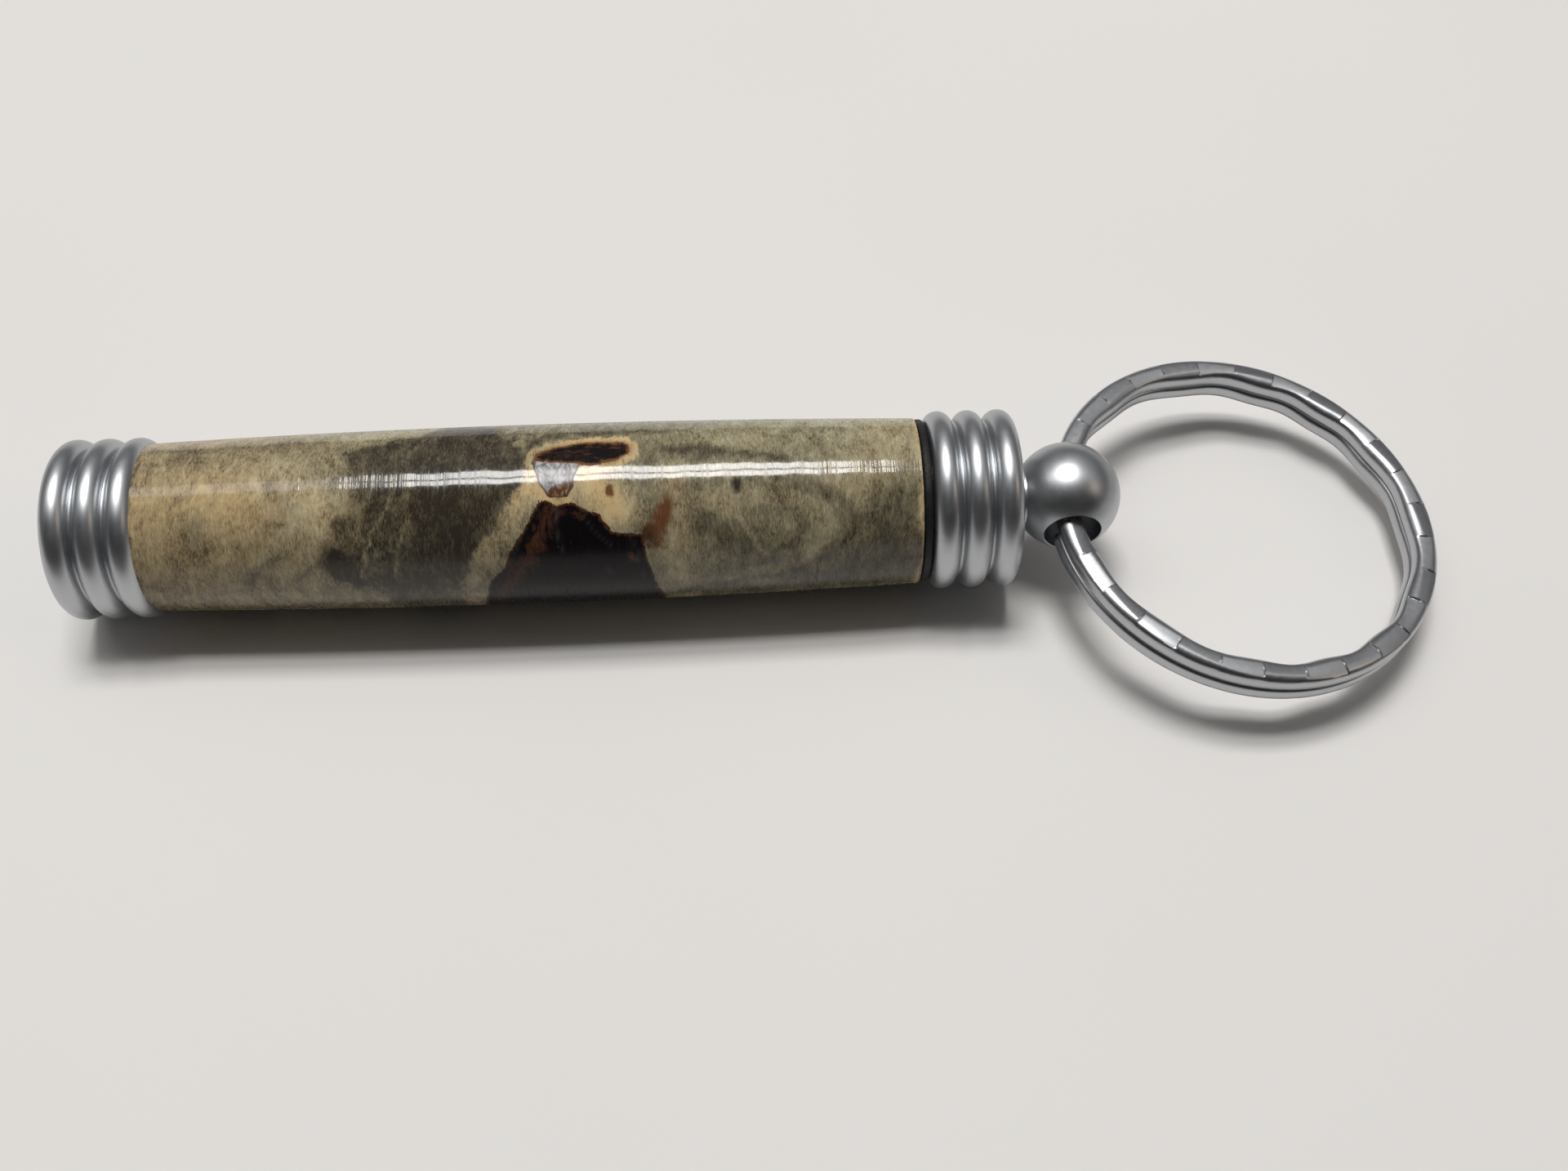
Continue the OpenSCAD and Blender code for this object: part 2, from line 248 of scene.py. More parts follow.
# the burl's figure on the unrolled barrel: each point is a place along it and degrees round it,
# 0 at the near side and 90 on top
figure = {
    "cells": (230, 172),  # of the wood's grid, along the barrel and round it
    # how the strokes are bent, along the barrel and round it: amount, cell's length and width, seed
    "bends": [[(0.28, 2.4, 1.7, 1), (0.16, 0.8, 0.6, 2)],
              [(0.4, 2.0, 1.7, 3), (0.22, 0.7, 0.6, 4)]],
    "ground": (0.42, 0.35), "zoneGround": (0.85, 0.36),  # darkness and warmth under the strokes
    "paintedUnderShade": 0.15,  # painted shade: darkness added towards the underside
    "resinX": 38.3,  # the resin's middle along the barrel
    # outlines of the pockets, as shares of the wood's length and degrees
    "bark": [[0.513, 62.8], [0.526, 62.5], [0.532, 59], [0.556, 61.5], [0.573, 55], [0.587, 53.5],
             [0.605, 42], [0.642, 39.5], [0.645, 25], [0.657, -1], [0.663, -14], [0.668, -36],
             [0.42, -40], [0.433, -10], [0.444, 10], [0.466, 21.5], [0.472, 31.5], [0.489, 42],
             [0.504, 55]],
    "lens": [[0.505, 89], [0.508, 95], [0.532, 100], [0.573, 104], [0.62, 103], [0.629, 100],
             [0.627, 93], [0.608, 87], [0.578, 84], [0.556, 86.5], [0.529, 87.5]],
    "resin": [[0.504, 88], [0.507, 90], [0.53, 91], [0.568, 89], [0.557, 76], [0.556, 70],
              [0.548, 64], [0.525, 64.5], [0.513, 73.5]],
    # the wide dark zone of the wood
    "darkZone": [(30, 142), (29, 122), (27, 115), (24.5, 107), (22.5, 98), (23.2, 85), (23.5, 70),
                 (22.5, 55), (21, 40), (20.5, 25), (21.5, 13), (25, 2), (26, -15), (27, -65),
                 (30, -70), (31, -20), (31, 0), (32, 20), (33.5, 40), (35, 55), (36, 70),
                 (36.8, 90), (36.3, 100), (35.5, 108), (34.5, 116), (33.5, 125), (33, 142)],
    # strokes painted one over the other: path, width, darkness, warmth, strength
    "strokes": [
        ([(11, 140), (11, 70), (11, 10), (11, -60)], 8.0, 0.36, 0.8, 1.0),
        ([(50, 140), (58, 125), (66, 120)], 7.0, 0.36, 0.22, 1.0),
        ([(52, 66), (58, 45), (60, 10), (52, -10)], 8.0, 0.48, 0.28, 0.9),
        ([(58, 142), (66, 138)], 3.0, 0.24, 0.15, 0.8),
        ([(36, 140), (45, 136)], 3.5, 0.52, 0.25, 0.8),
        ([(9, 101), (13, 104), (20, 99)], 2.0, 0.44, 0.45, 0.8),
        ([(10.3, 104), (11.6, 99)], 0.9, 0.6, 0.55, 0.8),
        ([(8, 66), (12, 70), (16, 64)], 2.8, 0.26, 0.95, 0.9),
        ([(13, 73), (15.5, 68)], 1.1, 0.19, 1.0, 0.7),
        ([(16.5, 84), (19, 76), (20.8, 66), (21.6, 56)], 1.5, 0.19, 0.62, 0.95),
        ([(10, 45), (13, 34), (17, 28), (18, 15)], 2.4, 0.46, 0.7, 0.5),
        ([(11.6, 56), (12.0, 44)], 0.9, 0.52, 0.5, 0.7),
        ([(17.4, 79), (18.1, 66), (17.3, 48), (15.2, 33)], 0.55, 0.5, 0.8, 0.65),
        ([(17.0, 101), (18.3, 80), (19.3, 58), (17.6, 36), (15.8, 18),
          (12.8, 5)], 0.4, 0.22, 0.3, 0.7),
        ([(14.8, 15), (16.6, 26), (18.2, 33)], 0.35, 0.62, 0.35, 0.7),
        ([(19.0, 16), (21.4, 28)], 0.35, 0.6, 0.35, 0.7),
        ([(8, 113.5), (14, 114.5), (20.5, 114)], 0.45, 0.62, 0.45, 0.7),
        ([(8, -9), (17, -9), (25, -9), (33, -8)], 0.35, 0.26, 0.4, 0.8),
        ([(12, -1), (17, -3), (21, -8)], 0.9, 0.3, 0.5, 0.7),
        ([(8, -22), (20, -20), (33, -24)], 1.2, 0.62, 0.45, 0.7),
        ([(22.5, 119), (26, 122), (30, 132)], 0.6, 0.26, 0.35, 0.7),
        ([(41, 126), (46, 122)], 2.4, 0.46, 0.25, 0.8),
        ([(43.5, 107), (47, 101)], 1.2, 0.46, 0.35, 0.7),
        ([(50, 102), (54, 100)], 1.6, 0.3, 0.3, 0.6),
        ([(36.8, 78), (36.4, 70), (35.8, 60)], 1.0, 0.12, 0.95, 0.95),
        ([(35.0, 52), (34.0, 38), (33.0, 24)], 0.8, 0.38, 0.62, 0.95),
        ([(32.3, 12), (31.6, -2), (31.8, -35)], 0.75, 0.36, 0.52, 0.95),
        ([(37.2, 74), (38.0, 67), (39.4, 64.5)], 0.85, 0.04, 1.0, 1.0),
        ([(44.9, 90), (45.2, 74), (45.4, 60)], 1.05, 0.58, 0.3, 0.9),
        ([(41.4, 82), (42.0, 72), (42.7, 63), (43.2, 57)], 1.5, 0.0, 1.0, 1.0),
        ([(36.8, 99), (38.2, 109), (41.5, 114.5), (45, 115.5), (47, 113)], 0.3, 0.8, 0.3, 0.9),
        ([(39, 118), (43, 120), (47, 117)], 0.5, 0.55, 0.25, 0.5),
        ([(47.2, 96), (49.2, 94.8), (51.5, 93)], 0.55, 0.8, 0.45, 0.9),
        ([(51.5, 93), (54, 90.5), (56.4, 87)], 0.36, 0.82, 0.4, 0.9),
        ([(47.7, 70), (48.5, 52), (48.4, 36)], 0.9, 0.4, 0.75, 0.7),
        ([(47.2, 30), (48.0, 15), (48.8, -4), (49.6, -22)], 1.3, 0.26, 0.5, 0.95),
        ([(50.4, 58), (52.2, 54)], 0.9, 0.3, 0.55, 0.8),
        ([(50.2, 44), (51.6, 36), (53.4, 33)], 1.0, 0.76, 0.25, 0.85),
        ([(53.6, 40), (54.6, 28)], 0.5, 0.72, 0.25, 0.7),
        ([(57.2, 69), (58.6, 65), (60.9, 55), (61.6, 42), (60.8, 28), (58.6, 15), (55, 3), (51, -7),
          (48, -12)], 0.5, 0.7, 0.3, 0.75),
        ([(59.5, 73), (62.0, 60), (62.6, 45), (62.0, 31)], 0.35, 0.26, 0.45, 0.75),
        ([(52, 63), (56, 62), (58.8, 53), (59.6, 40), (58.4, 25), (55.8, 12),
          (52, 2)], 0.6, 0.34, 0.45, 0.7),
        ([(52.6, 47), (53.6, 38), (54.2, 28), (55.0, 20)], 0.25, 0.28, 0.45, 0.8),
        ([(54.4, 56), (56.8, 52), (57.8, 41), (56.6, 28), (54.4, 18)], 0.4, 0.62, 0.3, 0.7),
        ([(64.2, 52), (64.2, 40), (63.9, 22), (62.4, 2)], 2.4, 0.8, 0.3, 0.85),
        ([(62.5, 72), (64.5, 90), (64.5, 114)], 1.9, 0.32, 0.6, 0.7),
        ([(57, 0), (61.5, -4), (66, 2)], 1.2, 0.72, 0.25, 0.8),
        ([(50, -18), (58, -16), (66, -12)], 1.0, 0.66, 0.4, 0.7),
        # a thin painted shadow in the gap where the wood meets the end cap
        ([(6.84, 190), (6.84, 10), (6.84, -170)], 0.12, 0.85, 0.5, 0.8),
        ([(66.78, 190), (66.78, 10), (66.78, -170)], 0.2, 0.12, 0.9, 0.95),
        ([(52.6, 69.5), (52.55, 65)], 0.24, 1.15, 0.3, 1.0),
        # the far side and the underside
        ([(9, 170), (18, 185), (26, 178), (33, 188)], 2.2, 0.62, 0.35, 0.8),
        ([(31, 150), (34, 175), (40, 200), (46, 225)], 1.9, 0.84, 0.35, 0.85),
        ([(36, 160), (41, 170), (46, 168)], 1.4, 0.26, 0.8, 0.8),
        ([(50, 160), (54, 182), (60, 188), (64, 170), (60, 152), (54, 150)], 0.8, 0.66, 0.3, 0.7),
        ([(53, 170), (59, 170)], 1.2, 0.36, 0.45, 0.7),
        ([(10, 215), (17, 225), (23, 242)], 2.4, 0.24, 0.8, 0.8),
        ([(20, 205), (26, 220), (30, 245), (29, 272)], 1.6, 0.76, 0.35, 0.8),
        ([(36, 235), (38, 260), (35, 285)], 1.2, 0.28, 0.65, 0.8),
        ([(50, 215), (57, 230), (62, 255), (60, 285)], 1.7, 0.6, 0.3, 0.8),
        ([(53, 245), (54, 272), (50, 295)], 1.3, 0.28, 0.6, 0.8),
        ([(10, 260), (15, 280), (13, 302)], 1.7, 0.58, 0.5, 0.7),
    ],
    # strokes inside the dark zone, of the same form
    "zoneStrokes": [
        ([(30.5, 76), (31.2, 55), (31, 35), (30, 20)], 2.3, 1.0, 0.4, 0.9),
        ([(28.5, 112), (32, 112), (34.5, 105)], 2.0, 0.84, 0.5, 0.6),
        ([(23.3, 88), (23.9, 72), (23.9, 52), (23.3, 40)], 0.95, 0.64, 0.75, 0.85),
        ([(22.9, 66), (22.2, 54), (22.0, 42)], 0.85, 0.58, 0.75, 0.9),
        ([(27.6, 84), (28.0, 66), (27.2, 48)], 0.7, 0.7, 0.6, 0.6),
        ([(22.0, 32), (22.8, 24), (23.4, 17)], 0.8, 1.0, 0.2, 0.9),
        ([(25.3, 48), (25.6, 34), (24.6, 18), (25.2, 6)], 0.55, 0.66, 0.25, 0.7),
        ([(28.4, 24), (30, 12), (30.5, -4)], 1.4, 0.78, 0.15, 0.7),
        ([(26.9, 78), (26.3, 64), (25.0, 48), (24.4, 32), (24.1, 16)], 0.16, 0.4, 0.4, 0.85),
        ([(27.8, 58), (27.0, 40), (26.4, 18)], 0.14, 0.48, 0.35, 0.7),
        ([(28.3, 108), (27.5, 92), (27.0, 78)], 0.18, 0.56, 0.35, 0.6),
        ([(34, 126), (35.2, 113), (36.0, 102), (36.9, 97)], 0.3, 1.05, 0.35, 0.9),
        ([(32.6, 60), (33.0, 48)], 0.8, 0.84, 0.5, 0.5),
    ],
    # rust in the wood, amber in the bark and thin grey lines in it: path, width, strength
    "rust": [([(47.0, 56), (46.8, 50), (46.4, 43), (46.1, 36)], 0.9, 1.0),
             ([(48.0, 70), (47.5, 58)], 0.7, 0.5), ([(48.3, 44), (48.1, 34)], 0.9, 0.28),
             ([(43.1, 68.6), (43.0, 66.5)], 0.34, 1.5), ([(39.5, 67), (39.0, 65.5)], 0.5, 0.5),
             ([(44.8, 93), (45.0, 101)], 0.45, 0.35), ([(45.9, 46), (45.6, 36)], 0.35, 1.0)],
    "amber": [([(38.4, 56), (37.6, 42), (36.3, 22), (35.0, 6)], 1.0, 0.9),
              ([(37.6, 44), (37.0, 34)], 0.7, 1.1),
              ([(38.9, 62), (39.6, 56), (41.0, 50)], 0.35, 0.6),
              ([(44.1, 28), (44.4, 24)], 0.35, 1.2),
              ([(41, 60.5), (43, 55.5), (44.4, 51)], 0.25, 0.9),
              ([(34.4, 2), (34.0, -12)], 0.9, 0.55)],
    "mist": [([(39.0, 62), (38.8, 46), (39.2, 30)], 0.09, 0.9),
             ([(40.7, 56), (41.6, 44), (42.9, 33)], 0.08, 0.5),
             ([(44.3, 42), (44.9, 28), (45.2, 8)], 0.1, 0.6),
             ([(37.2, 62), (36.4, 44), (35.2, 24), (33.8, 4)], 0.1, 0.6),
             ([(42.5, 16), (42.7, 13)], 0.22, 0.8)],
}

# colours of the figure: stops from pale to dark for the warm and the cool wood, pairs that a noise
# mixes, and the lines along the pockets' edges
tones = {
    "warm": [(0.0, (0.61, 0.445, 0.225)), (0.25, (0.45, 0.33, 0.17)), (0.5, (0.26, 0.19, 0.105)),
             (0.75, (0.112, 0.084, 0.048)), (1.0, (0.04, 0.029, 0.02))],
    "cool": [(0.0, (0.54, 0.52, 0.37)), (0.25, (0.33, 0.315, 0.215)), (0.5, (0.175, 0.166, 0.108)),
             (0.75, (0.085, 0.077, 0.052)), (1.0, (0.034, 0.029, 0.022))],
    "halo": ((0.62, 0.47, 0.25), (0.31, 0.18, 0.078)),
    "rust": ((0.13, 0.047, 0.018), (0.046, 0.018, 0.009)),
    "bark": ((0.0055, 0.004, 0.0048), (0.085, 0.036, 0.02)),
    "barkGrain": (0.025, 0.009, 0.007), "barkDust": (0.1, 0.09, 0.09),
    "barkEdge": (0.07, 0.03, 0.014),
    "lens": ((0.008, 0.0048, 0.005), (0.06, 0.028, 0.018)), "lensEdge": (0.17, 0.075, 0.028),
    "silver": ((0.12, 0.108, 0.112), (0.46, 0.45, 0.46)),
    "amber": ((0.085, 0.038, 0.018), (0.34, 0.21, 0.1)), "resinEdge": (0.06, 0.035, 0.022),
}


def toArc(x, degrees):
    # the unrolled barrel in millimetres: along it, and round it as the angle times one radius
    return np.stack([np.asarray(x, float), np.radians(degrees) * barrel["figureRadius"]], -1)


def segmentGap(points, path, closed=False):
    # least distance from each point to a path's straight pieces, and the nearest point on it
    p = np.asarray(path, float)
    a, b = (p, np.roll(p, -1, 0)) if closed else (p[:-1], p[1:])
    run = b - a
    t = np.clip(((points[:, None] - a) * run).sum(-1) / np.maximum((run ** 2).sum(-1), 1e-9), 0, 1)
    near = a + t[..., None] * run
    gaps = np.linalg.norm(points[:, None] - near, axis=-1)
    best = gaps.argmin(1)
    rows = np.arange(len(points))
    return gaps[rows, best], near[rows, best]


def outlineGap(points, outline):
    # distance to a closed outline, negative inside it; a point is inside where the ray from it
    # along the barrel crosses the outline an odd number of times
    p = np.asarray(outline, float)
    gap = segmentGap(points, p, True)[0]
    a, b = p, np.roll(p, -1, 0)
    x, y = points[:, 0, None], points[:, 1, None]
    crosses = (a[:, 1] > y) != (b[:, 1] > y)
    with np.errstate(divide="ignore", invalid="ignore"):
        at = a[:, 0] + (y - a[:, 1]) * (b[:, 0] - a[:, 0]) / (b[:, 1] - a[:, 1])
    inside = ((crosses & (x < at)).sum(1) % 2) == 1
    return np.where(inside, -gap, gap)


def strokeMask(flat, path, width):
    # soft band exp(-(gap / width)^2) along a path, also past the seam of the unrolled barrel
    line = toArc(*np.asarray(path, float).T)
    turn = 2 * np.pi * barrel["figureRadius"]
    gap = np.min([segmentGap(flat + (0.0, shift), line)[0] for shift in (-turn, 0.0, turn)], 0)
    return np.exp(-(gap / width) ** 2)


def smoothNoise(flat, cellLength, cellWidth, seed):
    # random values from -1 to 1 on a grid over the unrolled barrel, blended smoothly between the
    # grid's points and joined at the seam
    turn = 2 * np.pi * barrel["figureRadius"]
    count = int(turn / cellWidth)
    reach = 80  # more than the wood's length, so that the grid covers it
    table = np.random.default_rng(seed).uniform(-1, 1, (int(reach / cellLength) + 3, count))
    u, v = flat[:, 0] / cellLength + 1, (flat[:, 1] % turn) / turn * count
    i, j = np.floor(u).astype(int), np.floor(v).astype(int)
    fu, fv = smooth(u - i, 0, 1), smooth(v - j, 0, 1)
    low = table[i, j % count] * (1 - fu) + table[i + 1, j % count] * fu
    high = table[i, (j + 1) % count] * (1 - fu) + table[i + 1, (j + 1) % count] * fu
    return low * (1 - fv) + high * fv


def painted(flat, strokes, ground):
    # strokes laid one over the other on an even ground: darkness and warmth
    shade, warmth = (np.full(len(flat), value) for value in ground)
    for path, width, dark, warm, strength in strokes:
        mask = strokeMask(flat, path, width) * strength
        shade, warmth = shade + mask * (dark - shade), warmth + mask * (warm - warmth)
    return shade, warmth


def figureValues(flat):
    # darkness and warmth of the wood outside and inside its dark zone, with painted shade added
    # towards the underside, the distance to that zone's edge, and rust, amber and mist. All but the
    # mist is bent by smooth noise
    bent = flat + np.stack([sum(amount * smoothNoise(flat, *cell) for amount, *cell in bends)
                            for bends in figure["bends"]], 1)
    shade, warmth = painted(bent, figure["strokes"], figure["ground"])
    zoneShade, zoneWarmth = painted(bent, figure["zoneStrokes"], figure["zoneGround"])
    # painted shade: the wood gets darker towards the underside
    low = smooth(-np.degrees(flat[:, 1] / barrel["figureRadius"]), -50, 25)
    zone = toArc(*np.asarray(figure["darkZone"], float).T)
    values = {"shade": shade + figure["paintedUnderShade"] * low, "warmth": warmth, "zoneShade": zoneShade,
              "zoneWarmth": zoneWarmth, "zoneGap": np.clip(outlineGap(bent, zone), -3, 3)}
    for name in ("rust", "amber", "mist"):
        ground = flat if name == "mist" else bent
        values[name] = np.max([strokeMask(ground, path, width) * strength
                               for path, width, strength in figure[name]], 0)
    return values


def burlFigure(place):
    # the figured wood, its bark, its lens of bark and its resin. Each gap is the distance to an
    # outline made ragged by noise, and a narrow step on it cuts one kind from the next
    grain = place.scaled(8, 1.9, 1.9).noise(4, 0.7)
    pores = place.scaled(10, 3, 3).noise(2, 0.6)
    clouds = place.scaled(0.6, 0.42, 0.42).noise(4, 0.6, 0.8)
    ragged = place.scaled(1.6, 1.1, 1.1).noise(5, 0.72, 0.4)
    wisps = place.scaled(1.1, 0.4, 0.4).noise(4, 0.65, 2)
    curls = place.scaled(1, 0.55, 0.55).noise(5, 0.66, 2)
    streaks = place.scaled(0.8, 3, 3).noise(4, 0.7, 0.8)
    scratch = place.scaled(1.9, 0.9, 0.9).noise(4, 0.62, 1.2)
    shade, warmth, zoneGap = (place.attribute(name) for name in ("shade", "warmth", "zoneGap"))
    lensGap = place.attribute("lensGap") + ragged * 0.5
    barkGap = place.attribute("barkGap") + ragged * 0.75 + grain * 0.3
    resinGap = place.attribute("resinGap") + ragged * 0.4
    # the wood: darkness and warmth from the strokes, made uneven by the noises
    inZone = (zoneGap + ragged * 2.6 + grain * 1.4).step(0.35, -0.4)
    shade = shade + inZone * (place.attribute("zoneShade") - shade)
    warmth = warmth + inZone * (place.attribute("zoneWarmth") - warmth)
    dots = (pores + clouds * 0.6 + zoneGap.step(2.4, 0.4) * 0.05).step(0.05, 0.17)
    shade = shade + clouds * 0.5 + ragged * 0.5 + grain * 0.8 + wisps * 0.55 + dots * 0.2 - 0.02
    warmth = warmth + ragged * 0.7 + clouds * 0.6
    wood = warmth.mixed(shade.ramp(tones["cool"]), shade.ramp(tones["warm"]))
    # a pale halo round the lens, weaker at the end next to the resin, and rust, darker by the bark
    pastResin = place.part(0) / mm - figure["resinX"]
    halo = (lensGap + wisps * 1.4).step(0.8, 0.35) * (pastResin.step(0.0, 1.9) * 0.45 + 0.5)
    haloTone = (dots * 0.5 + grain * 0.9 + lensGap.step(0.4, 0.0) * 0.6).mixed(*tones["halo"])
    wood = halo.mixed(wood, haloTone)
    rust = place.attribute("rust")
    rust = (rust + (ragged * 1.8 + grain * 0.8) * rust).step(0.06, 1.0)
    nearBark = (barkGap + ragged * 1.6).step(1.35, 0.35)
    wood = (rust * 0.93).mixed(wood, nearBark.mixed(*tones["rust"]))
    # the bark: amber curls with a dark grain, grey specks and lines, and a brown edge
    reddish = (place.attribute("amber") * (0.8 + curls * 2.2) + curls * 0.8).step(0.2, 0.95)
    bark = reddish.mixed(*tones["bark"])
    bark = (reddish * (grain + curls).step(-0.08, 0.1) * 0.75).mixed(bark, tones["barkGrain"])
    specks = place.scaled(2.6, 2.6, 2.6).noise(1, 0.5).step(0.23, 0.28)
    dust = specks * 0.35 + place.attribute("mist") * (ragged + 0.5) * 0.6
    bark = dust.mixed(bark, tones["barkDust"])
    bark = (barkGap + curls * 0.5).step(-0.3, -0.02).mixed(bark, tones["barkEdge"])
    # the lens: brown streaks and a rust-coloured edge
    lens = (streaks + ragged * 0.6).step(-0.02, 0.22).mixed(*tones["lens"])
    lens = (lensGap + streaks * 0.5).step(-0.34, -0.08).mixed(lens, tones["lensEdge"])
    # the resin: cracked silver above and amber below a sloping border
    cracks = place.node("ShaderNodeTexVoronoi", {"feature": "DISTANCE_TO_EDGE"},
                        {"Vector": place.scaled(0.75, 0.6, 0.6), "Scale": 1.0}).step(0.06, 0.012)
    silver = (scratch.step(-0.2, 0.14) * (1.0 - cracks * 0.7)).mixed(*tones["silver"])
    amber = scratch.step(-0.08, 0.18).mixed(*tones["amber"])
    height = place.part(1) / mm - pastResin * 0.45 + ragged * 1.6
    resin = height.step(-2.85, -2.4).mixed(amber, silver)
    resin = resinGap.step(-0.2, -0.02).mixed(resin, tones["resinEdge"])
    figured = resinGap.step(0.03, -0.03).mixed(wood, resin)
    figured = lensGap.step(0.03, -0.05).mixed(figured, lens)
    return barkGap.step(0.04, -0.04).mixed(figured, bark)


# the gloss over the figure: each finish has its index of refraction and its own dullness
gloss = {
    "finishes": {"burl_wood": (1.43, 0.0), "bark": (1.32, 0.0), "resin": (1.34, 0.1)},
    "roughness": 0.08, "combDull": 0.13, "nearDull": 0.18, "nearSide": (6.1, 4.6), "bump": 0.011,
}


def glossed(place, index, dull):
    # the figure under a thick gloss: fine ridges and a comb of duller lines round the barrel break
    # the lamps' streak into strokes, and the side below the streak is more softly polished
    ridges = place.scaled(4.5, 0.1, 0.1).noise(2, 0.6)
    waves = place.scaled(0.45, 0.25, 0.25).noise(1, 0.5)
    comb = place.scaled(4, 0.16, 0.16).noise(3, 0.7).step(-0.02, 0.18)
    near = (place.part(2) / mm).step(*gloss["nearSide"])
    roughness = gloss["roughness"] + dull + comb * gloss["combDull"] + near * gloss["nearDull"]
    return {"Base Color": burlFigure(place), "IOR": index, "Roughness": roughness,
            "Normal": (ridges * 0.8 + waves * 6.0).bump(gloss["bump"] * mm)}


glossFinishes = {name: finish(name, lambda place, values=values: glossed(place, *values))
                 for name, values in gloss["finishes"].items()}
# the pieces that the grid over the wood is shared out to, with their finishes
woodPieces = {"wood_barrel": "burl_wood", "bark_inclusion": "bark", "bark_lens": "bark",
              "resin_fill": "resin"}


def shareOut(flat, cells, outlines):
    # a number for each cell by its middle: 0 wood, 1 bark, 2 lens, 3 resin. Grid points between
    # cells of two kinds move onto the nearest outline
    along, around = figure["cells"]
    kind = np.zeros(along * around, int)
    for number, name in ((3, "resin"), (2, "lens"), (1, "bark")):
        kind[outlineGap(cells, outlines[name]) < 0] = number
    kind = kind.reshape(along, around)
    padded = np.concatenate([kind[:1], kind, kind[-1:]])
    corners = np.stack([padded[:-1], padded[1:], np.roll(padded[:-1], 1, 1),
                        np.roll(padded[1:], 1, 1)])
    border = (corners.max(0) != corners.min(0)).ravel()
    gaps, nears = zip(*(segmentGap(flat[border], line, True) for line in outlines.values()))
    flat[border] = np.stack(nears)[np.argmin(gaps, 0), np.arange(border.sum())]
    return kind


def wallFaces(mask):
    # closed wall of a mask's cells: their outer and inner faces, and a side wherever the next cell
    # is not in the mask. The inner points are numbered after the outer ones
    along, around = mask.shape
    inner = (along + 1) * around
    i, j = np.meshgrid(np.arange(along), np.arange(around), indexing="ij")
    a, b = i * around + j, (i + 1) * around + j
    c, d = (i + 1) * around + (j + 1) % around, i * around + (j + 1) % around
    wide = np.pad(mask, ((1, 1), (0, 0)))
    sides = [(a, d, mask & ~wide[:-2]), (c, b, mask & ~wide[2:]),
             (b, a, mask & ~np.roll(mask, 1, 1)), (d, c, mask & ~np.roll(mask, -1, 1))]
    return np.concatenate(
        [np.stack([a, b, c, d], -1)[mask], np.stack([d, c, b, a], -1)[mask] + inner]
        + [np.stack([p, q, q + inner, p + inner], -1)[edge] for p, q, edge in sides])


def makeWood():
    # one grid over the unrolled barrel is shared out to four kinds, and each kind becomes a closed
    # wall from the tube to the crowned outside: radius = end + crown * (1 - (2 * share - 1)^2)
    along, around = figure["cells"]
    start, length = barrel["woodStart"], barrel["woodLength"]
    x, degrees = np.meshgrid(start + np.linspace(0, 1, along + 1) * length,
                             np.linspace(-180, 180, around, endpoint=False), indexing="ij")
    flat = toArc(x.ravel(), degrees.ravel())
    cells = toArc((x[:-1] + x[1:]).ravel() / 2, degrees[:-1].ravel() + 180 / around)
    outlines = {name: toArc(*(np.asarray(figure[name], float) * (length, 1) + (start, 0)).T)
                for name in ("bark", "lens", "resin")}
    kind = shareOut(flat, cells, outlines)
    share = (flat[:, 0] - start) / length
    crowned = barrel["woodEndRadius"] + barrel["crown"] * (1 - (2 * share - 1) ** 2)
    points = np.concatenate([
        roundBarrel(flat[:, 0], radius, flat[:, 1] / barrel["figureRadius"])
        for radius in (crowned, np.full(len(flat), barrel["woodBore"]))])
    values = figureValues(flat)
    for name, line in outlines.items():
        values[name + "Gap"] = np.clip(outlineGap(flat, line), -3, 6)
    for number, (node, slotName) in enumerate(woodPieces.items()):
        quads = wallFaces(kind == number)
        used, index = np.unique(quads, return_inverse=True)
        piece = addPiece(node + "_finish", points[used], index.reshape(quads.shape).tolist(),
                         "barrel", glossFinishes[slotName], node, 40.0)
        for name, column in values.items():
            addValues(piece, name, np.tile(column, 2)[used])


makeWood()
print("wood, bark and resin done")


caps = {
    "beads": 3, "beadRadius": 1.1, "beadPitch": 2.41, "beadCentre": 6.0, "arcSteps": 26,
    "sideAngle": 74, "endAngle": 82,  # degrees from straight out where a bead meets a groove or end
    "grooveDip": 0.15, "grooveSteps": 7, "around": 192,
    "flatRadius": 4.5, "faceRise": 0.12, "rimRadius": 5.97, "backRadius": 5.93, "easing": 0.35,
    "flatMargin": 0.6, "plugRadius": 4.89, "plugLength": 6.5, "leadIn": 0.3,
    "boreRadius": 3.71, "boreDepth": 3.0, "tenonBore": 1.61,
    "dark": (0.455, 0.47, 0.488), "pale": (0.545, 0.56, 0.58), "roughness": 0.37, "bump": 0.0012,
    "polished": (6.25, 6.08),  # radii between which the grooves turn bright
}


def beads(start, firstAngle, lastAngle):
    # the outer side of a row of round beads: arcs joined by the rounded bottoms of the grooves
    c = caps
    reach = math.radians(c["sideAngle"])
    half = c["beadPitch"] / 2 - c["beadRadius"] * math.sin(reach)
    lip = c["beadCentre"] + c["beadRadius"] * math.cos(reach)
    t = np.radians(np.linspace(-90, 90, c["grooveSteps"] + 2)[1:-1])
    groove = np.stack([half * np.sin(t), lip - c["grooveDip"] * np.cos(t)], 1)
    parts = []
    for n in range(c["beads"]):
        cx = start + c["beadRadius"] + n * c["beadPitch"]
        low = firstAngle if n == 0 else -c["sideAngle"]
        high = lastAngle if n == c["beads"] - 1 else c["sideAngle"]
        parts.append(arc(cx, c["beadCentre"], c["beadRadius"], low, high, c["arcSteps"]))
        if n < c["beads"] - 1:
            parts.append(groove + (cx + c["beadPitch"] / 2, 0))
    return np.concatenate(parts)


